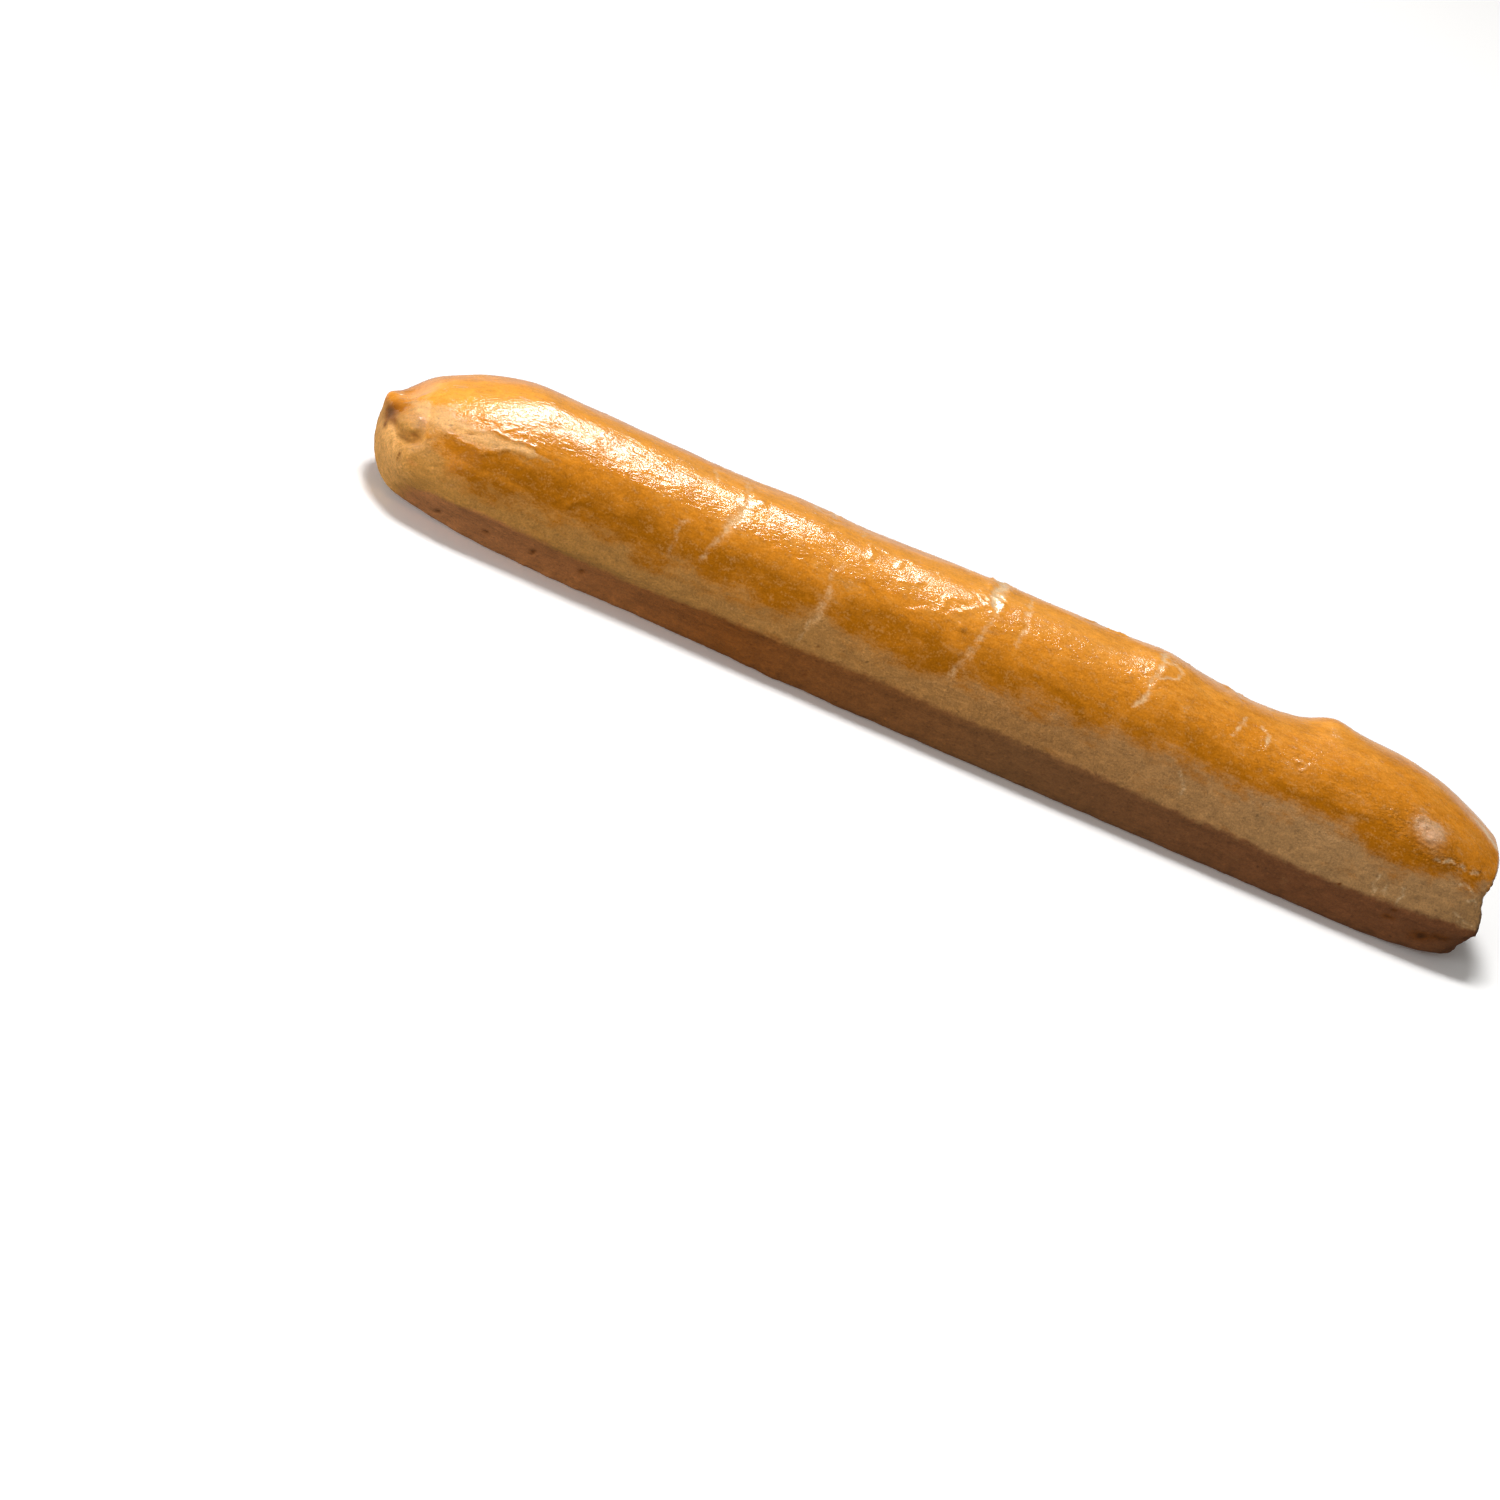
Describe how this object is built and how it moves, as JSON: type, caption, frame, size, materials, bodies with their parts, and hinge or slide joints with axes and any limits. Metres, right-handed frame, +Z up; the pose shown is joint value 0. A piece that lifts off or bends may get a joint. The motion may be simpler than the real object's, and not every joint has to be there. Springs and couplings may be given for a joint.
{
  "type": "almond pastry log",
  "caption": "Whole baked almond pastry log: a long roll of flaky pastry, egg-washed golden on top and browned at its flat foot, to set on a plate, a tray or a counter.",
  "frame": {"origin": "on the surface that the log rests on, under the middle of its outline", "axes": "+X along the log, towards its blunt folded end; +Y towards its back; +Z up, from the flat foot to the glazed crown"},
  "size_m": [0.3004, 0.0486, 0.0393],
  "materials": {
    "baked_crust": "baked flaky pastry crust, glossy egg wash on top, matt pale sides and a browned foot"
  },
  "bodies": {
    "root": {"pastry_log": "baked_crust"}
  },
  "joints": []
}
